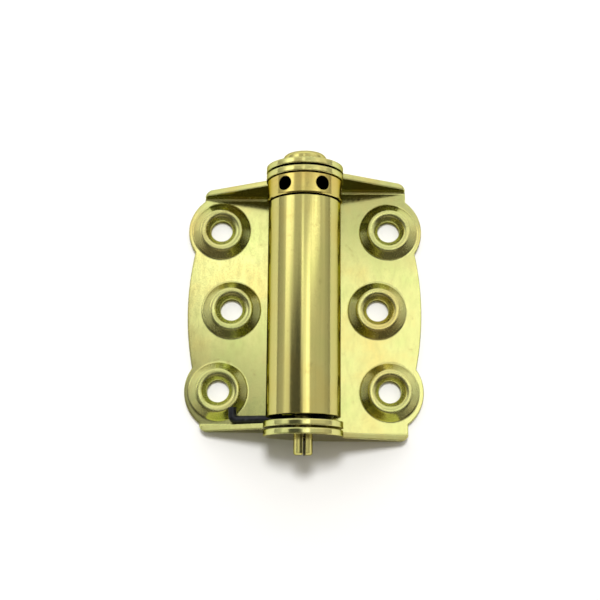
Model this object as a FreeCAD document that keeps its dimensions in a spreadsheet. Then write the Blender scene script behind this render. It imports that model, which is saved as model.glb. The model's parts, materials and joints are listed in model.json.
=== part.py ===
import FreeCAD, Part
import Sketcher
import math
import os

doc = FreeCAD.newDocument("SpringHinge")

# Driving sizes in millimetres and degrees
SIZES = (
    ("sheet", 1.5, "leaf stock thickness"),
    ("leaf_height", 70.7, "outer leaf height over its lugs"),
    ("lug_gap", 0.65, "clearance between outer and inner lugs"),
    ("bend_inside", 0.6, "inside radius of the lug bends"),
    ("axis_rise", 14.3, "pin axis above the leaf front"),
    ("nose_radius", 10.15, "round nose of the lugs"),
    ("edge_inset", 0.3, "inner leaf edge from the pin axis plane"),
    ("lug_reach", 27.8, "outer end of the lug flanges from the axis"),
    ("shoulder_rise", 11.5, "lug shoulder above the leaf front beside the nose"),
    ("flange_rise", 2.0, "lug flange above the leaf front at its outer end"),
    ("flange_round", 2.0, "corner radius at the outer end of a flange"),
    ("corner_round", 2.3, "plan radius where a flange meets the leaf end"),
    ("lobe_radius", 10.8, "round lobes of the leaf outline"),
    ("lobe_offset", 21.3, "lobe centre from the axis"),
    ("bulge_radius", 80.0, "shallow bulge between the lobes"),
    ("bulge_reach", 31.8, "furthest point of the bulge from the axis"),
    ("screw_pitch", 44.4, "spacing of the outer screw holes"),
    ("screw_offset", 23.0, "outer screw holes from the axis"),
    ("middle_offset", 19.85, "middle screw hole from the axis"),
    ("screw_hole", 6.0, "screw hole diameter"),
    ("boss_crest", 10.4, "diameter of the boss crest line"),
    ("crest_land", 0.3, "flat width of the boss crest"),
    ("boss_height", 2.0, "boss crest above the leaf front"),
    ("crest_round", 0.9, "rounding from the boss crest to the flank"),
    ("lip_round", 1.6, "rounding from the boss crest to the countersink"),
    ("boss_foot", 0.4, "fillet between boss and leaf front"),
    ("flank_slope", 42.0, "slope of the boss flank"),
    ("sink_slope", 48.0, "slope of the countersink"),
    ("boss_wall", 1.5, "pressed wall of the bosses"),
    ("pin_diameter", 4.8, "hinge pin shank"),
    ("pin_clearance", 0.05, "radial running clearance on the pin"),
    ("pin_tail", 4.6, "pin end beyond the lower outer lug"),
    ("pin_slot", 0.7, "slot width in the pin end"),
    ("slot_depth", 7.0, "slot depth in the pin end"),
    ("slot_turn", 8.0, "turn of the pin slot from square"),
    ("pin_chamfer", 0.4, "chamfer at the pin end"),
    ("head_diameter", 11.6, "pin head"),
    ("head_height", 3.4, "pin head height"),
    ("head_round", 1.2, "rounded top edge of the pin head"),
    ("head_gap", 0.15, "clearance under the pin head"),
    ("collar_diameter", 19.7, "tension collar"),
    ("collar_height", 5.6, "visible height of the collar"),
    ("collar_gap", 0.15, "clearance above the collar"),
    ("collar_bore_gap", 0.08, "radial clearance of the collar on the pin"),
    ("collar_edge", 0.3, "chamfer on the collar edges"),
    ("neck_length", 3.2, "collar neck inside the sleeve"),
    ("neck_gap", 0.3, "radial clearance of the neck in the sleeve"),
    ("peg_hole", 3.8, "peg holes of the collar"),
    ("peg_depth", 5.2, "depth of the peg holes"),
    ("peg_phase", 28.4, "turn of the first peg hole from the front"),
    ("sleeve_diameter", 19.0, "barrel sleeve"),
    ("sleeve_wall", 0.9, "sleeve wall"),
    ("sleeve_top_gap", 0.5, "gap between collar and sleeve"),
    ("sleeve_foot_gap", 1.35, "gap between sleeve and lower inner lug"),
    ("notch_gap", 0.3, "clearance of the spring leg in the sleeve notch"),
    ("wire", 2.2, "spring wire diameter"),
    ("coil_diameter", 13.4, "mean coil diameter"),
    ("coil_gap", 0.4, "clearance of the coil ends"),
    ("turn_gap", 0.08, "gap between the closed end turns"),
    ("leg_tilt", 12.4, "leg slope toward the leaf"),
    ("leg_length", 20.7, "leg from its tangent point to the hook"),
    ("hook_round", 1.4, "bend radius of the hook"),
    ("hook_rise", 3.3, "hook height above the leg axis"),
)

cells = doc.addObject("Spreadsheet::Sheet", "Sizes")
for row, (alias, size, note) in enumerate(SIZES, 1):
    cells.set("A%d" % row, note)
    cells.set("B%d" % row, str(size))
    cells.setAlias("B%d" % row, alias)
doc.recompute()


class Dim:
    """A size that carries its rule and its present value together."""

    def __init__(self, rule, value):
        self.rule = rule
        self.value = value

    def _join(self, sign, other, value):
        return Dim("(%s %s %s)" % (self.rule, sign, dim(other).rule), value)

    def __add__(self, other):
        return self._join("+", other, self.value + dim(other).value)

    def __sub__(self, other):
        return self._join("-", other, self.value - dim(other).value)

    def __mul__(self, other):
        return self._join("*", other, self.value * dim(other).value)

    def __truediv__(self, other):
        return self._join("/", other, self.value / dim(other).value)

    def __neg__(self):
        return Dim("(0 - %s)" % self.rule, -self.value)


def dim(value):
    return value if isinstance(value, Dim) else Dim(repr(float(value)), float(value))


def root(size):
    return Dim("sqrt(%s)" % size.rule, math.sqrt(size.value))


def sine(angle):
    return Dim("sin(%s)" % angle.rule, math.sin(math.radians(angle.value)))


def cosine(angle):
    return Dim("cos(%s)" % angle.rule, math.cos(math.radians(angle.value)))


def lean_of(rise, run):
    return Dim("atan(%s / %s)" % (rise.rule, run.rule), math.degrees(math.atan(rise.value / run.value)))


S = {alias: Dim("Sizes." + alias, size) for alias, size, note in SIZES}

# Planes: sketch axes laid on the object axes
ALONG_Y = FreeCAD.Rotation(FreeCAD.Vector(1, 0, 0), -90)
FACE_XZ = FreeCAD.Rotation(FreeCAD.Vector(1, 0, 0), 90)
FACE_YZ = FreeCAD.Rotation(FreeCAD.Vector(1, 1, 1), 120)
LEVEL = FreeCAD.Rotation()


def place(obj, turn=LEVEL, x=None, y=None, z=None):
    obj.Placement = FreeCAD.Placement(FreeCAD.Vector(0, 0, 0), turn)
    for axis, size in (("x", x), ("y", y), ("z", z)):
        if size is not None:
            obj.setExpression("Placement.Base." + axis, dim(size).rule)
    return obj


def bind(obj, **rules):
    for prop, size in rules.items():
        obj.setExpression(prop, dim(size).rule)
    return obj


def cylinder(name, radius, height, turn=LEVEL, x=None, y=None, z=None):
    obj = bind(doc.addObject("Part::Cylinder", name), Radius=radius, Height=height)
    return place(obj, turn, x, y, z)


def box(name, length, width, height, x=None, y=None, z=None):
    obj = bind(doc.addObject("Part::Box", name), Length=length, Width=width, Height=height)
    return place(obj, LEVEL, x, y, z)


def fuse(name, shapes):
    obj = doc.addObject("Part::MultiFuse", name)
    obj.Shapes = shapes
    obj.Refine = True
    return obj


def common(name, shapes):
    obj = doc.addObject("Part::MultiCommon", name)
    obj.Shapes = shapes
    return obj


def cut(name, base, tool):
    obj = doc.addObject("Part::Cut", name)
    obj.Base = base
    obj.Tool = tool
    return obj


def path(name, turn, points, arcs=None, closed=True):
    """Sketch through located points. An arc holds its centre and True if it runs counter-clockwise."""
    arcs = arcs or {}
    sketch = doc.addObject("Sketcher::SketchObject", name)
    sketch.Placement = FreeCAD.Placement(FreeCAD.Vector(0, 0, 0), turn)
    spots = [(dim(a), dim(b)) for a, b in points]
    count = len(spots) if closed else len(spots) - 1
    ends = []
    for i in range(count):
        first = FreeCAD.Vector(spots[i][0].value, spots[i][1].value, 0)
        j = (i + 1) % len(spots)
        last = FreeCAD.Vector(spots[j][0].value, spots[j][1].value, 0)
        if i in arcs:
            cx, cy, ccw = arcs[i]
            mid = FreeCAD.Vector(dim(cx).value, dim(cy).value, 0)
            circle = Part.Circle(mid, FreeCAD.Vector(0, 0, 1), (first - mid).Length)
            start, stop = (first, last) if ccw else (last, first)
            low = math.atan2(start.y - mid.y, start.x - mid.x)
            high = math.atan2(stop.y - mid.y, stop.x - mid.x)
            if high <= low:
                high += 2 * math.pi
            sketch.addGeometry(Part.ArcOfCircle(circle, low, high), False)
            ends.append((1, 2) if ccw else (2, 1))
        else:
            sketch.addGeometry(Part.LineSegment(first, last), False)
            ends.append((1, 2))

    def locate(geo, spot, kind, size, axis):
        if size.value == 0:
            sketch.addConstraint(Sketcher.Constraint("PointOnObject", geo, spot, axis))
        else:
            n = sketch.addConstraint(Sketcher.Constraint(kind, -1, 1, geo, spot, size.value))
            sketch.setExpression("Constraints[%d]" % n, size.rule)

    for i in range(count):
        locate(i, ends[i][0], "DistanceX", spots[i][0], -2)
        locate(i, ends[i][0], "DistanceY", spots[i][1], -1)
        if closed or i + 1 < count:
            j = (i + 1) % count
            sketch.addConstraint(Sketcher.Constraint("Coincident", i, ends[i][1], j, ends[j][0]))
    if not closed:
        locate(count - 1, ends[-1][1], "DistanceX", spots[-1][0], -2)
        locate(count - 1, ends[-1][1], "DistanceY", spots[-1][1], -1)
    for i, (cx, cy, ccw) in arcs.items():
        j = (i + 1) % len(spots)
        rise = abs(spots[i][1].value - spots[j][1].value)
        if rise < abs(spots[i][0].value - spots[j][0].value):
            locate(i, 3, "DistanceY", dim(cy), -1)
        else:
            locate(i, 3, "DistanceX", dim(cx), -2)
    return sketch


def extrude(name, sketch, direction, forward, backward=None):
    obj = doc.addObject("Part::Extrusion", name)
    obj.Base = sketch
    obj.DirMode = "Custom"
    obj.Dir = direction
    obj.Solid = True
    bind(obj, LengthFwd=forward)
    if backward is not None:
        bind(obj, LengthRev=backward)
    return obj


def revolve(name, sketch, axis, x=None, y=None, z=None):
    obj = doc.addObject("Part::Revolution", name)
    obj.Source = sketch
    obj.Axis = axis
    obj.Angle = 360
    obj.Solid = True
    for part, size in (("x", x), ("y", y), ("z", z)):
        if size is not None:
            sketch.setExpression("Placement.Base." + part, dim(size).rule)
            obj.setExpression("Base." + part, dim(size).rule)
    return obj


X = FreeCAD.Vector(1, 0, 0)
Y = FreeCAD.Vector(0, 1, 0)
Z = FreeCAD.Vector(0, 0, 1)

sheet = S["sheet"]
axis_height = sheet + S["axis_rise"]
nose = S["nose_radius"]
leaf_edge = S["lobe_offset"] + S["lobe_radius"]
outer_half = S["leaf_height"] / 2
inner_half = outer_half - sheet - S["lug_gap"]
lug_hole = S["pin_diameter"] / 2 + S["pin_clearance"]
inner_face = inner_half - sheet
# Cutting shapes and blanks run past the stock by this much
SPARE = 2
# Share of the nose radius at which the shoulder line has dipped inside the nose
INSIDE_NOSE = 0.6
# The pin ends reach unequally past the lugs, so every piece is centred on their middle
lift = (S["pin_tail"] - S["head_gap"] - S["head_height"]) / 2


# Leaves: a bent channel trimmed by a side profile and a plan outline
def leaf_side(name):
    inset = S["edge_inset"]
    reach = S["lug_reach"]
    bottom = sheet + S["flange_rise"]
    top = sheet + S["shoulder_rise"]
    slope = (top - bottom) / (reach - nose)
    slant = root(slope * slope + 1)
    corner = S["flange_round"]
    centre = bottom - corner * (slant - slope)
    span = root(inset * inset + S["axis_rise"] * S["axis_rise"])
    reach_back = root(span * span - nose * nose)
    lean = nose / span
    rise = reach_back / span
    far_x = inset - reach_back * (inset * rise + S["axis_rise"] * lean) / span
    far_z = sheet + reach_back * (S["axis_rise"] * rise - inset * lean) / span
    points = (
        (inset, 0),
        (leaf_edge + SPARE, 0),
        (leaf_edge + SPARE, sheet),
        (reach, sheet),
        (reach, centre),
        (reach - corner + corner * slope / slant, centre + corner / slant),
        (nose * INSIDE_NOSE, top + nose * (1 - INSIDE_NOSE) * slope),
        (far_x, far_z),
        (inset, sheet),
    )
    side = path(name + "SideLine", FACE_XZ, points, {4: (reach - corner, centre, True)})
    long_half = outer_half + SPARE
    prism = extrude(name + "SideBlank", side, Y, long_half, long_half)
    round_nose = cylinder(name + "Nose", nose, long_half * 2, ALONG_Y, y=-long_half, z=axis_height)
    return fuse(name + "Side", [prism, round_nose])


def leaf_plan(name, half):
    tall = axis_height + nose + SPARE
    behind = nose + SPARE
    reach = S["lug_reach"]
    corner = S["corner_round"]
    points = (
        (-behind, -half), (reach - corner, -half), (reach, corner - half),
        (reach, half - corner), (reach - corner, half), (-behind, half),
    )
    arcs = {1: (reach - corner, corner - half, True), 3: (reach - corner, half - corner, True)}
    parts = [extrude(name + "PlanBar", path(name + "PlanLine", LEVEL, points, arcs), Z, tall)]
    for tag, sign in (("Upper", 1), ("Lower", -1)):
        at = S["screw_pitch"] * (0.5 * sign)
        parts.append(cylinder(name + "Lobe" + tag, S["lobe_radius"], tall, x=S["lobe_offset"], y=at))
    arc = cylinder(name + "BulgeRound", S["bulge_radius"], tall, x=S["bulge_reach"] - S["bulge_radius"])
    band = box(name + "BulgeBand", S["lobe_radius"] * 2, S["screw_pitch"], tall)
    place(band, LEVEL, x=S["lobe_offset"] - SPARE, y=-(S["screw_pitch"] / 2))
    parts.append(common(name + "Bulge", [arc, band]))
    return fuse(name + "Plan", parts)


def leaf_channel(name, half):
    inside = S["bend_inside"]
    outside = inside + sheet
    top = axis_height + nose + SPARE
    flat = half - outside
    wall = half - sheet
    points = (
        (-half, outside), (-flat, 0), (flat, 0), (half, outside), (half, top), (wall, top),
        (wall, outside), (flat, sheet), (-flat, sheet), (-wall, outside), (-wall, top), (-half, top),
    )
    arcs = {
        0: (-flat, outside, True), 2: (flat, outside, True),
        6: (flat, outside, False), 8: (-flat, outside, False),
    }
    line = path(name + "ChannelLine", FACE_YZ, points, arcs)
    return extrude(name + "Channel", line, X, leaf_edge + SPARE, nose + SPARE)


def boss(name, x, y):
    brow = (S["boss_crest"] + S["crest_land"]) / 2
    lip = (S["boss_crest"] - S["crest_land"]) / 2
    crown = sheet + S["boss_height"]
    arc = S["crest_round"]
    roll = S["lip_round"]
    foot = S["boss_foot"]
    wall = S["boss_wall"]
    # Flank: a straight run between the foot fillet and the outer rounding of the crest
    flank_x = sine(S["flank_slope"])
    flank_z = cosine(S["flank_slope"])
    bends = arc + foot
    run = (S["boss_height"] - bends * (dim(1) - flank_z)) / flank_x
    base = brow + bends * flank_x + run * flank_z
    # Countersink: a cone that leaves the inner rounding of the crest and ends on the hole
    hole = S["screw_hole"] / 2
    sink_x = sine(S["sink_slope"])
    sink_z = cosine(S["sink_slope"])
    rim_x = lip - roll * sink_x
    rim_z = crown - roll + roll * sink_z
    land = rim_z - (rim_x - hole) * sink_x / sink_z
    points = (
        (0, 0), (base, 0), (base, sheet), (base - foot * flank_x, sheet + foot - foot * flank_z),
        (brow + arc * flank_x, crown - arc + arc * flank_z), (brow, crown), (lip, crown),
        (rim_x, rim_z), (0, rim_z),
    )
    arcs = {2: (base, sheet + foot, False), 4: (brow, crown - arc, True), 6: (lip, crown - roll, True)}
    raised = revolve(name + "Dome", path(name + "DomeLine", FACE_XZ, points, arcs), Z, x, y)
    under = dim(-SPARE)
    over = crown + SPARE
    points = ((0, under), (hole, under), (hole, land), (rim_x, rim_z), (rim_x, over), (0, over))
    sink = revolve(name + "Sink", path(name + "SinkLine", FACE_XZ, points), Z, x, y)
    # Hollow back: kept one wall behind the flank, the crest and the countersink
    roof = crown - wall
    outer_foot = brow + ((crown - arc) * flank_z + arc - wall) / flank_x
    inner_foot = lip - ((crown - roll) * sink_z + roll - wall) / sink_x
    outer_roof = brow + (arc - wall) * (dim(1) - flank_z) / flank_x
    inner_roof = lip - (roll - wall) * (dim(1) - sink_z) / sink_x
    points = (
        (inner_foot, 0), (inner_foot, under), (outer_foot, under), (outer_foot, 0),
        (outer_roof, roof), (inner_roof, roof),
    )
    hollow = revolve(name + "Hollow", path(name + "HollowLine", FACE_XZ, points), Z, x, y)
    return raised, [sink, hollow]


def leaf(name, label, half, turn):
    blank = common(name + "Blank", [leaf_channel(name, half), leaf_side(name), leaf_plan(name, half)])
    long_half = half + SPARE
    raised = []
    tools = []
    spots = (
        ("Upper", S["screw_offset"], S["screw_pitch"] / 2),
        ("Middle", S["middle_offset"], dim(0)),
        ("Lower", S["screw_offset"], -(S["screw_pitch"] / 2)),
    )
    for tag, x, y in spots:
        dome, cutters = boss(name + tag, x, y)
        raised.append(dome)
        tools.extend(cutters)
    tools.append(cylinder(name + "PinHole", lug_hole, long_half * 2, ALONG_Y, y=-long_half, z=axis_height))
    piece = cut(name, fuse(name + "Formed", [blank] + raised), fuse(name + "Tools", tools))
    piece.Label = label
    return place(piece, turn, y=lift)


HALF_TURN = FreeCAD.Rotation(Z, 180)
pieces = [
    leaf("DoorLeaf", "door_leaf", outer_half, LEVEL),
    leaf("FrameLeaf", "frame_leaf", inner_half, HALF_TURN),
]

# Hinge pin: turned head and shank, split lower end
shank = S["pin_diameter"] / 2
head = S["head_diameter"] / 2
seat = outer_half + S["head_gap"]
crown = seat + S["head_height"]
tip = -(outer_half + S["pin_tail"])
edge = S["head_round"]
chamfer = S["pin_chamfer"]
points = (
    (0, tip), (shank - chamfer, tip), (shank, tip + chamfer), (shank, seat), (head, seat),
    (head, crown - edge), (head - edge, crown), (0, crown),
)
pin_line = path("PinLine", LEVEL, points, {5: (head - edge, crown - edge, True)})
pin_turned = revolve("PinTurned", pin_line, Y, z=axis_height)
slot = box("PinSlot", S["pin_slot"], S["slot_depth"] + SPARE, (shank + SPARE) * 2)
turn = S["slot_turn"]
half_slot = S["pin_slot"] / 2
deep = shank + SPARE
place(
    slot, FreeCAD.Rotation(Y, turn.value), y=tip - SPARE,
    x=-(half_slot * cosine(turn) + deep * sine(turn)),
    z=axis_height + half_slot * sine(turn) - deep * cosine(turn),
)
bind(slot, **{"Placement.Rotation.Angle": turn})
pin = cut("HingePin", pin_turned, slot)
pin.Label = "hinge_pin"
pieces.append(place(pin, LEVEL, y=lift))

# Tension collar: body, neck inside the sleeve, six blind peg holes
collar_top = inner_face - S["collar_gap"]
collar_foot = collar_top - S["collar_height"]
neck_foot = collar_foot - S["neck_length"]
collar_side = S["collar_diameter"] / 2
sleeve_bore = S["sleeve_diameter"] / 2 - S["sleeve_wall"]
neck_side = sleeve_bore - S["neck_gap"]
collar_bore = shank + S["collar_bore_gap"]
bevel = S["collar_edge"]
points = (
    (collar_bore, neck_foot), (neck_side - bevel, neck_foot), (neck_side, neck_foot + bevel),
    (neck_side, collar_foot), (collar_side - bevel, collar_foot), (collar_side, collar_foot + bevel),
    (collar_side, collar_top - bevel), (collar_side - bevel, collar_top), (collar_bore, collar_top),
)
collar_body = revolve("CollarBody", path("CollarLine", LEVEL, points), Y, z=axis_height)
holes = []
hole_level = collar_foot + S["collar_height"] / 2
for i in range(6):
    turn = S["peg_phase"] + 60 * i
    start = collar_side - S["peg_depth"]
    hole = cylinder("PegHole%d" % i, S["peg_hole"] / 2, S["peg_depth"] + SPARE)
    out = axis_height + start * cosine(turn)
    place(hole, FreeCAD.Rotation(Y, turn.value), x=start * sine(turn), y=hole_level, z=out)
    holes.append(bind(hole, **{"Placement.Rotation.Angle": turn}))
collar = cut("TensionCollar", collar_body, fuse("PegHoles", holes))
collar.Label = "tension_collar"
pieces.append(place(collar, LEVEL, y=lift))

# Torsion spring: left-hand coil running into a straight leg with an upturned hook
CLOSE_TURNS = 3
OPEN_TURNS = 11
wire = S["wire"] / 2
coil = S["coil_diameter"] / 2
leg_level = -(inner_face - wire - S["coil_gap"])
coil_top = neck_foot - wire - S["coil_gap"]
# The coil is a chain of half turns: each is a half circle whose slanting diameter gains height.
# The lower end turns are closed, the rest share the remaining height.
close_gain = (S["wire"] + S["turn_gap"]) / 2
open_gain = (coil_top - leg_level - close_gain * CLOSE_TURNS) / OPEN_TURNS


def half_turns(name, gain):
    sway = gain / 2
    halves = []
    for tag, first in (("Front", 0), ("Back", 180)):
        radius = root(coil * coil + sway * sway)
        half_circle = bind(doc.addObject("Part::Circle", name + tag), Radius=radius)
        half_circle.Angle1 = first
        half_circle.Angle2 = first + 180
        halves.append(place(half_circle, FACE_XZ))
    return halves, lean_of(sway, coil)


closed_turn = half_turns("ClosedTurn", close_gain)
open_turn = half_turns("OpenTurn", open_gain)
hook = S["hook_round"]
run = S["leg_length"]
points = ((0, 0), (run - hook, 0), (run, hook), (run, S["hook_rise"]))
leg_line = path("LegLine", LEVEL, points, {1: (run - hook, hook, True)}, False)
place(leg_line, FreeCAD.Rotation(Y, 90), x=coil, y=leg_level)
chain = [leg_line]
level = leg_level
for i in range(CLOSE_TURNS + OPEN_TURNS):
    halves, lean = closed_turn if i < CLOSE_TURNS else open_turn
    gain = close_gain if i < CLOSE_TURNS else open_gain
    link = doc.addObject("Part::Compound", "CoilTurn%d" % i)
    link.Links = [halves[i % 2]]
    axis = Z if i % 2 else -Z
    place(link, FreeCAD.Rotation(axis, lean.value), y=level + gain / 2)
    chain.append(bind(link, **{"Placement.Rotation.Angle": lean}))
    level = level + gain
wire_line = doc.addObject("Part::Compound", "WireLine")
wire_line.Links = chain
wire_end = bind(doc.addObject("Part::Circle", "WireEnd"), Radius=wire)
place(wire_end, ALONG_Y, x=coil, y=leg_level + S["hook_rise"], z=-run)
doc.recompute()
spring = doc.addObject("Part::Sweep", "TorsionSpring")
spring.Sections = [wire_end]
spring.Spine = (wire_line, ["Edge%d" % (i + 1) for i in range(len(wire_line.Shape.Edges))])
spring.Solid = True
spring.Frenet = False
spring.Label = "torsion_spring"
# Turned about the pin so that the leg leaves on the leaf side, sloping to the lower boss
leg_turn = dim(90) - S["leg_tilt"]
place(spring, FreeCAD.Rotation(Y, leg_turn.value), y=lift, z=axis_height)
pieces.append(bind(spring, **{"Placement.Rotation.Angle": leg_turn}))

# Barrel sleeve: tube from the collar down to the lower lug, notched where the spring leg comes out
sleeve_top = collar_foot - S["sleeve_top_gap"]
sleeve_foot = S["sleeve_foot_gap"] - inner_face
sleeve_length = sleeve_top - sleeve_foot
sleeve_side = S["sleeve_diameter"] / 2
tube = cylinder("SleeveTube", sleeve_side, sleeve_length, ALONG_Y, y=sleeve_foot, z=axis_height)
through = sleeve_length + SPARE * 2
bore = cylinder("SleeveBore", sleeve_bore, through, ALONG_Y, y=sleeve_foot - SPARE, z=axis_height)
notch_side = coil - wire - S["notch_gap"]
notch_foot = sleeve_foot - SPARE
notch_top = leg_level + wire + S["notch_gap"]
notch = box("LegNotch", S["wire"] + S["notch_gap"] * 2, notch_top - notch_foot, sleeve_side)
place(
    notch, FreeCAD.Rotation(Y, leg_turn.value), y=notch_foot,
    x=notch_side * cosine(leg_turn) - sleeve_side * sine(leg_turn),
    z=axis_height - notch_side * sine(leg_turn) - sleeve_side * cosine(leg_turn),
)
bind(notch, **{"Placement.Rotation.Angle": leg_turn})
sleeve = cut("BarrelSleeve", tube, fuse("SleeveCuts", [bore, notch]))
sleeve.Label = "barrel_sleeve"
pieces.append(place(sleeve, LEVEL, y=lift))

doc.recompute()
for obj in doc.Objects:
    if "Invalid" in obj.State or "Error" in obj.State:
        raise RuntimeError("%s did not recompute: %s" % (obj.Name, obj.State))
for piece in pieces:
    shape = piece.Shape
    if shape.isNull() or not shape.isValid():
        raise RuntimeError("%s has no valid shape" % piece.Label)

os.makedirs("parts", exist_ok=True)
for piece in pieces:
    piece.Shape.exportStep("parts/%s.step" % piece.Label)
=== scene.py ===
import json
import math

import bpy
from mathutils import Euler, Matrix, Vector


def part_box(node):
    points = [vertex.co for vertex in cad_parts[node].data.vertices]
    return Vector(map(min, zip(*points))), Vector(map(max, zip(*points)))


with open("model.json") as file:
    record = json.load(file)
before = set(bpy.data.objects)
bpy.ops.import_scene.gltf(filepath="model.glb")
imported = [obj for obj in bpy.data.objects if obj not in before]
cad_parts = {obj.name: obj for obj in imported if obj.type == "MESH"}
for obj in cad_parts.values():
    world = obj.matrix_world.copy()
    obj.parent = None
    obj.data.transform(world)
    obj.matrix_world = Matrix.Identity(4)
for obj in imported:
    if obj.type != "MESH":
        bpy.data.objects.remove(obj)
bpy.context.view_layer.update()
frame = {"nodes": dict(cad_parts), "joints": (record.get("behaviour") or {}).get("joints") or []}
nodes = frame["nodes"]
scene = bpy.context.scene
scene.view_settings.view_transform = "Standard"

# Where painted shade and press marks lie on the hinge, in metres
AXIS_HEIGHT = frame["joints"][0]["pos_m"][2]
PEG_SKIN = 0.00025
PEG_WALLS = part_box("tension_collar")[1].x - PEG_SKIN
PEG_FADE = 0.0006
SLOT_TURN = math.radians(8.0)
SLOT_HALF = 0.00034
SLOT_FADE = 0.00006
# Length up the pin over which the slot is painted black as shade
SLOT_SHADE_LENGTH = 0.004925
SLOT_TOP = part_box("hinge_pin")[0].y + SLOT_SHADE_LENGTH
SLOT_TOP_FADE = 0.001
BOSS_START = 0.00155
BOSS_START_FADE = 0.0004
BOSS_TOP = 0.0036
BOSS_TOP_FADE = 0.0006

# Colours of the zinc, where each set of tones is a pale, a golden and a greenish hue
LEAF_TONES = ((0.65, 0.665, 0.265), (0.69, 0.605, 0.215), (0.58, 0.65, 0.24))
BARREL_TONES = ((0.60, 0.56, 0.200), (0.60, 0.52, 0.165), (0.56, 0.55, 0.185))
COLLAR_TONES = ((0.63, 0.54, 0.165), (0.64, 0.48, 0.135), (0.58, 0.52, 0.155))
LEAF_GRAZING = (0.42, 0.38, 0.22, 1.0)
BARREL_GRAZING = (0.26, 0.23, 0.13, 1.0)
SPECK_BROWN = (0.34, 0.27, 0.10, 1.0)
STAIN_BROWN = (0.40, 0.33, 0.11, 1.0)
# Black painted as shade into the collar's peg holes and the pin's slot
SHADE_BLACK = (0.012, 0.011, 0.009, 1.0)
STREAK_SHADE = 0.62

# Grain of the metal, as its stretch along x, y and z and its height in metres
ROLLED = (1.0, 0.35, 1.0)
DRAWN = (1.0, 0.02, 1.0)
TURNED = (0.06, 1.0, 0.06)
GRAIN_HEIGHT = 0.00003

# Roughness that the press adds, and the widths in metres over which edges look rounded
PRESS_ROUGHNESS = 0.11
LEAF_EDGE = 0.0006
FINE_EDGE = 0.00022

# Studio, in metres, watts, millimetres of lens and degrees
FLOOR_HALF = 12.0
FLOOR_LEVEL = -0.00005
FLOOR_WHITE = (0.93, 0.93, 0.93, 1.0)
DIM_TINT = (1.0, 0.86, 0.66, 1.0)
PANEL_TINT = (1.0, 0.97, 0.92, 1.0)
HORIZON = 0.02
KEY_POWER = 6.4
KEY_SIDE = 0.18
KEY_PLACE = (0.0, 0.23, 1.0)
KEY_AIM = Vector((0.0, 0.0, 0.005))
LENS = 61.54
SENSOR = 36.0
NEAR_CLIP = 0.005
CAMERA_PLACE = (0.00212, -0.055865, 0.27502)
CAMERA_TURN = (12.244, 0.601, 0.453)


class Graph:
    """A node tree with short calls for the nodes that the materials and the world share."""

    def __init__(self, tree):
        self.tree = tree
        self.nodes = tree.nodes
        self.nodes.clear()

    def add(self, kind, **settings):
        node = self.nodes.new(kind)
        for name, value in settings.items():
            setattr(node, name, value)
        return node

    def feed(self, socket, value):
        """Links an output to the socket, or sets a plain value on it."""
        if hasattr(value, "is_output"):
            self.tree.links.new(value, socket)
        else:
            socket.default_value = value

    def math(self, operation, a, b=0.0):
        node = self.add("ShaderNodeMath", operation=operation)
        self.feed(node.inputs[0], a)
        self.feed(node.inputs[1], b)
        return node.outputs[0]

    def times(self, first, *others):
        """Product of all the values."""
        for other in others:
            first = self.math("MULTIPLY", first, other)
        return first

    def fade(self, value, low, high, start=0.0, end=1.0):
        """Smooth change from start to end as the value goes from low to high."""
        node = self.add("ShaderNodeMapRange", interpolation_type="SMOOTHSTEP")
        self.feed(node.inputs["Value"], value)
        node.inputs["From Min"].default_value = low
        node.inputs["From Max"].default_value = high
        node.inputs["To Min"].default_value = start
        node.inputs["To Max"].default_value = end
        return node.outputs["Result"]

    def split(self, vector):
        """The x, y and z of a vector."""
        node = self.add("ShaderNodeSeparateXYZ")
        self.feed(node.inputs[0], vector)
        return node.outputs

    def mix(self, factor, a, b, blend="MIX"):
        node = self.add("ShaderNodeMix", data_type="RGBA", blend_type=blend)
        self.feed(node.inputs[0], factor)
        self.feed(node.inputs[6], a)
        self.feed(node.inputs[7], b)
        return node.outputs[2]

    def noise(self, place, scale, detail, rough, stretch=(1, 1, 1)):
        mapping = self.add("ShaderNodeMapping")
        self.feed(mapping.inputs["Vector"], place)
        mapping.inputs["Scale"].default_value = stretch
        node = self.add("ShaderNodeTexNoise")
        self.feed(node.inputs["Vector"], mapping.outputs["Vector"])
        node.inputs["Scale"].default_value = scale
        node.inputs["Detail"].default_value = detail
        node.inputs["Roughness"].default_value = rough
        return node.outputs["Fac"]

    def ramp(self, value, stops):
        node = self.add("ShaderNodeValToRGB")
        self.feed(node.inputs["Fac"], value)
        band = node.color_ramp
        while len(band.elements) < len(stops):
            band.elements.new(0.5)
        for element, (at, colour) in zip(band.elements, stops):
            element.position = at
            element.color = (*colour, 1.0)
        return node.outputs["Color"]

    def bump(self, height, strength):
        node = self.add("ShaderNodeBump")
        node.inputs["Strength"].default_value = strength
        node.inputs["Distance"].default_value = GRAIN_HEIGHT
        self.feed(node.inputs["Height"], height)
        return node

    def finish(self, shader):
        output = self.add("ShaderNodeOutputMaterial")
        self.feed(output.inputs["Surface"], shader.outputs[0])


def new_material(name):
    material = bpy.data.materials.new(name)
    material.use_nodes = True
    return material, Graph(material.node_tree)


def peg_hole_shade(g, place):
    """Mask of what lies under the collar's skin: the walls of its peg holes and its covered ends, which
    are painted black as the shade in these recesses.
    """
    x, _, z = g.split(place)
    out = g.math("SUBTRACT", z, AXIS_HEIGHT)
    square = g.math("ADD", g.math("POWER", x, 2.0), g.math("POWER", out, 2.0))
    return g.fade(g.math("SQRT", square), PEG_WALLS - PEG_FADE, PEG_WALLS, 1.0, 0.0)


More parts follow.
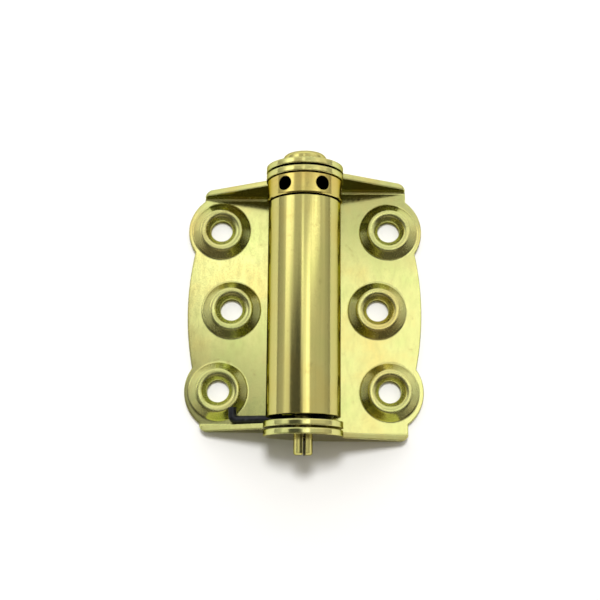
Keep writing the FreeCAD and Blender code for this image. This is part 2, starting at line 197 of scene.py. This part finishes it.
def slot_shade(g, place):
    """Mask of the narrow slot in the pin end, painted black as the shade inside the slot."""
    x, y, z = g.split(place)
    out = g.math("SUBTRACT", z, AXIS_HEIGHT)
    across = g.times(x, math.cos(SLOT_TURN))
    across = g.math("SUBTRACT", across, g.times(out, math.sin(SLOT_TURN)))
    inside = g.fade(g.math("ABSOLUTE", across), SLOT_HALF, SLOT_HALF + SLOT_FADE, 1.0, 0.0)
    return g.times(inside, g.fade(y, SLOT_TOP, SLOT_TOP + SLOT_TOP_FADE, 1.0, 0.0))


def pressed_bosses(g, place):
    """Mask of the screw bosses, which the press leaves duller than the flat sheet."""
    height = g.split(place)[2]
    above = g.fade(height, BOSS_START, BOSS_START + BOSS_START_FADE)
    return g.times(above, g.fade(height, BOSS_TOP, BOSS_TOP + BOSS_TOP_FADE, 1.0, 0.0))


def plated(name, tones, grazing, rough, stretch, grain, edge, shade_mask=None, dull=None):
    """Yellow passivated zinc on steel: clouded hue, specks, stains and a drawn or rolled grain.
    grazing is the tint at a glancing angle, and edge the width over which edges look rounded.
    The shade mask, where given, makes the mask of the recesses painted black as shade, and dull the mask
    of what the press has roughened."""
    pale, gold, green = tones
    material, g = new_material(name)
    place = g.add("ShaderNodeTexCoord").outputs["Object"]
    cloud = g.noise(place, scale=70.0, detail=3.0, rough=0.55)
    streak = g.noise(place, scale=grain, detail=4.0, rough=0.6, stretch=stretch)
    speck = g.noise(place, scale=2600.0, detail=2.0, rough=0.5)
    stain = g.noise(place, scale=420.0, detail=5.0, rough=0.65)
    streak_gold = (*[c * STREAK_SHADE for c in gold], 1.0)
    colour = g.ramp(cloud, ((0.30, green), (0.50, pale), (0.72, gold)))
    colour = g.mix(g.fade(streak, 0.35, 0.75, 0.0, 0.14), colour, streak_gold)
    colour = g.mix(g.fade(speck, 0.64, 0.84, 0.0, 0.22), colour, SPECK_BROWN)
    colour = g.mix(g.fade(stain, 0.58, 0.74, 0.0, 0.30), colour, STAIN_BROWN)
    if shade_mask:
        # Painted shade: the masked recesses turn black, standing in for the shade that falls in them
        colour = g.mix(shade_mask(g, place), colour, SHADE_BLACK)
    grain_mean = g.times(g.math("ADD", streak, speck), 0.5)
    roughness = g.fade(grain_mean, 0.35, 0.65, rough - 0.03, rough + 0.04)
    if dull:
        roughness = g.math("ADD", roughness, g.times(dull(g, place), PRESS_ROUGHNESS))
    bevel = g.add("ShaderNodeBevel", samples=6)
    bevel.inputs["Radius"].default_value = edge
    bump = g.bump(streak, 0.05)
    g.feed(bump.inputs["Normal"], bevel.outputs["Normal"])
    shader = g.add("ShaderNodeBsdfPrincipled")
    shader.inputs["Metallic"].default_value = 1.0
    shader.inputs["Specular Tint"].default_value = grazing
    g.feed(shader.inputs["Base Color"], colour)
    g.feed(shader.inputs["Roughness"], roughness)
    g.feed(shader.inputs["Normal"], bump.outputs["Normal"])
    g.finish(shader)
    return material


def leaf_zinc(name):
    return plated(
        name, LEAF_TONES, LEAF_GRAZING, rough=0.13, stretch=ROLLED, grain=700.0, edge=LEAF_EDGE,
        dull=pressed_bosses,
    )


def sleeve_zinc():
    return plated(
        "sleeve_zinc", BARREL_TONES, BARREL_GRAZING, rough=0.13, stretch=DRAWN, grain=1500.0,
        edge=FINE_EDGE,
    )


def turned_zinc(name, tones, shade_mask):
    return plated(
        name, tones, BARREL_GRAZING, rough=0.15, stretch=TURNED, grain=1600.0, edge=FINE_EDGE,
        shade_mask=shade_mask,
    )


def black_wire():
    """Oil-tempered spring wire: blue-black scale with worn and rubbed patches."""
    material, g = new_material("spring_wire")
    place = g.add("ShaderNodeTexCoord").outputs["Object"]
    scale = g.noise(place, scale=900.0, detail=4.0, rough=0.6)
    blue_black = (0.010, 0.011, 0.014)
    worn = (0.024, 0.026, 0.033)
    rubbed = (0.07, 0.07, 0.08)
    shader = g.add("ShaderNodeBsdfPrincipled")
    shader.inputs["Metallic"].default_value = 0.6
    g.feed(shader.inputs["Base Color"], g.ramp(scale, ((0.30, blue_black), (0.62, worn), (0.80, rubbed))))
    g.feed(shader.inputs["Roughness"], g.fade(scale, 0.3, 0.75, 0.30, 0.48))
    g.feed(shader.inputs["Normal"], g.bump(scale, 0.15).outputs["Normal"])
    g.finish(shader)
    return material


def dress_nodes():
    finishes = {
        "door_leaf": leaf_zinc("door_leaf_zinc"),
        "frame_leaf": leaf_zinc("frame_leaf_zinc"),
        "barrel_sleeve": sleeve_zinc(),
        "hinge_pin": turned_zinc("pin_zinc", BARREL_TONES, slot_shade),
        "tension_collar": turned_zinc("collar_zinc", COLLAR_TONES, peg_hole_shade),
        "torsion_spring": black_wire(),
    }
    for name, material in finishes.items():
        for slot in nodes[name].material_slots:
            slot.material = material


def add_floor():
    """White table top, lit as any surface near the object and lifted to white far away."""
    signs = ((-1, -1), (1, -1), (1, 1), (-1, 1))
    corners = [(x * FLOOR_HALF, y * FLOOR_HALF, FLOOR_LEVEL) for x, y in signs]
    mesh = bpy.data.meshes.new("floor")
    mesh.from_pydata(corners, [], [(0, 1, 2, 3)])
    floor = bpy.data.objects.new("floor", mesh)
    scene.collection.objects.link(floor)
    material, g = new_material("white_floor")
    diffuse = g.add("ShaderNodeBsdfDiffuse")
    diffuse.inputs["Color"].default_value = FLOOR_WHITE
    rays = g.add("ShaderNodeLightPath").outputs
    seen = g.math("MAXIMUM", rays["Is Camera Ray"], rays["Is Glossy Ray"])
    seen = g.math("MAXIMUM", seen, rays["Is Transmission Ray"])
    away = g.add("ShaderNodeVectorMath", operation="LENGTH")
    g.feed(away.inputs[0], g.add("ShaderNodeTexCoord").outputs["Object"])
    lift = g.fade(away.outputs["Value"], 0.2, 1.2, 0.01, 0.75)
    glow = g.add("ShaderNodeEmission")
    g.feed(glow.inputs["Strength"], g.times(seen, lift))
    both = g.add("ShaderNodeAddShader")
    g.feed(both.inputs[0], diffuse.outputs[0])
    g.feed(both.inputs[1], glow.outputs[0])
    g.finish(both)
    mesh.materials.append(material)


def add_world():
    """Studio round the table: soft panels overhead, a bright far wall, mid side walls
    and a dim room behind the camera with a pale ceiling and skirting. The panels are
    laid out in slopes from the upright, which are kept finite below the height HORIZON."""
    world = bpy.data.worlds.new("studio")
    scene.world = world
    world.use_nodes = True
    g = Graph(world.node_tree)
    x, y, z = g.split(g.add("ShaderNodeTexCoord").outputs["Generated"])
    height = g.math("MAXIMUM", z, HORIZON)
    u = g.math("DIVIDE", x, height)
    v = g.math("DIVIDE", y, height)

    def panel(gain, u_range, v_range, soft, slant=0.0, rise=0.0):
        """Soft-edged panel in slopes across (u) and along (v) the hinge, dark where gain is negative.
        slant leans its sides, and rise spreads its near edge over a longer fade."""
        left, right = u_range
        near, far = v_range
        across = g.math("SUBTRACT", u, g.times(g.math("SUBTRACT", v, near), slant))
        return g.times(
            g.fade(across, left - soft, left + soft),
            g.fade(across, right - soft, right + soft, gain, 0.0),
            g.fade(v, near - soft - rise, near + soft + rise),
            g.fade(v, far - soft, far + soft, 1.0, 0.0),
        )

    panels = (
        # Right of overhead, brighter further out
        panel(0.75, (-0.02, 0.34), (-0.02, 0.265), 0.035),
        panel(0.65, (0.15, 0.34), (-0.02, 0.265), 0.03),
        # Leaning band on the right, towards the head end
        panel(1.35, (0.13, 0.55), (0.265, 0.48), 0.05, slant=3.6),
        # Far left, bright towards the head end and faint nearer
        panel(1.25, (-1.70, -0.65), (0.34, 0.64), 0.08),
        panel(0.35, (-1.90, -0.95), (0.10, 0.34), 0.08),
        # Just left of overhead, rising towards the head end
        panel(1.15, (-0.14, -0.03), (0.16, 0.31), 0.02, rise=0.06),
        panel(0.45, (-0.14, -0.03), (0.20, 0.31), 0.02, rise=0.03),
        # Narrow strip beyond them
        panel(0.70, (-0.16, 0.02), (0.345, 0.42), 0.015),
        # Grey cards, one just left of overhead and one wider and further left
        panel(-0.42, (-0.13, -0.03), (-0.15, 0.31), 0.02),
        panel(-0.62, (-0.86, -0.13), (-0.15, 0.245), 0.03),
    )
    overhead = g.fade(v, 0.50, 0.85, 0.72, 1.25)
    for light in panels:
        overhead = g.math("ADD", overhead, light)
    overhead = g.times(overhead, g.fade(v, -0.32, -0.02, 0.09, 1.0))
    far_wall = g.fade(y, 0.25, 0.75, 0.58, 1.10)
    dim_room = g.fade(y, -0.60, 0.05, 0.17, 1.0)
    skirting = g.times(g.fade(z, 0.035, 0.055, 1.4, 0.0), g.fade(y, -0.35, -0.15, 1.0, 0.0))
    walls = g.math("ADD", g.times(far_wall, dim_room, g.fade(z, 0.0, 0.25, 0.65, 1.0)), skirting)
    ceiling = g.times(g.fade(z, 0.42, 0.54), g.fade(y, -0.75, -0.45, 0.35, 0.0))
    dome = g.math("ADD", g.mix(g.fade(z, 0.30, 0.48), walls, overhead), ceiling)
    tint = g.mix(g.fade(y, -0.7, 0.0), DIM_TINT, PANEL_TINT)
    back = g.add("ShaderNodeBackground")
    g.feed(back.inputs["Color"], g.mix(1.0, dome, tint, "MULTIPLY"))
    output = g.add("ShaderNodeOutputWorld")
    g.feed(output.inputs["Surface"], back.outputs[0])


def add_key():
    """Soft square lamp that gives the shadow on the table and isn't mirrored in the metal."""
    data = bpy.data.lights.new("key", "AREA")
    data.shape = "RECTANGLE"
    data.size = KEY_SIDE
    data.size_y = KEY_SIDE
    data.energy = KEY_POWER
    key = bpy.data.objects.new("key", data)
    key.location = KEY_PLACE
    key.visible_glossy = False
    key.rotation_euler = (KEY_AIM - key.location).to_track_quat("-Z", "Y").to_euler()
    scene.collection.objects.link(key)


def add_camera():
    """Camera at the photograph's viewing angle."""
    data = bpy.data.cameras.new("camera")
    data.lens = LENS
    data.sensor_width = SENSOR
    data.clip_start = NEAR_CLIP
    camera = bpy.data.objects.new("camera", data)
    turn = Euler([math.radians(angle) for angle in CAMERA_TURN], "XYZ").to_matrix().to_4x4()
    camera.matrix_world = Matrix.Translation(CAMERA_PLACE) @ turn
    scene.collection.objects.link(camera)
    scene.camera = camera


dress_nodes()
add_floor()
add_world()
add_key()
add_camera()
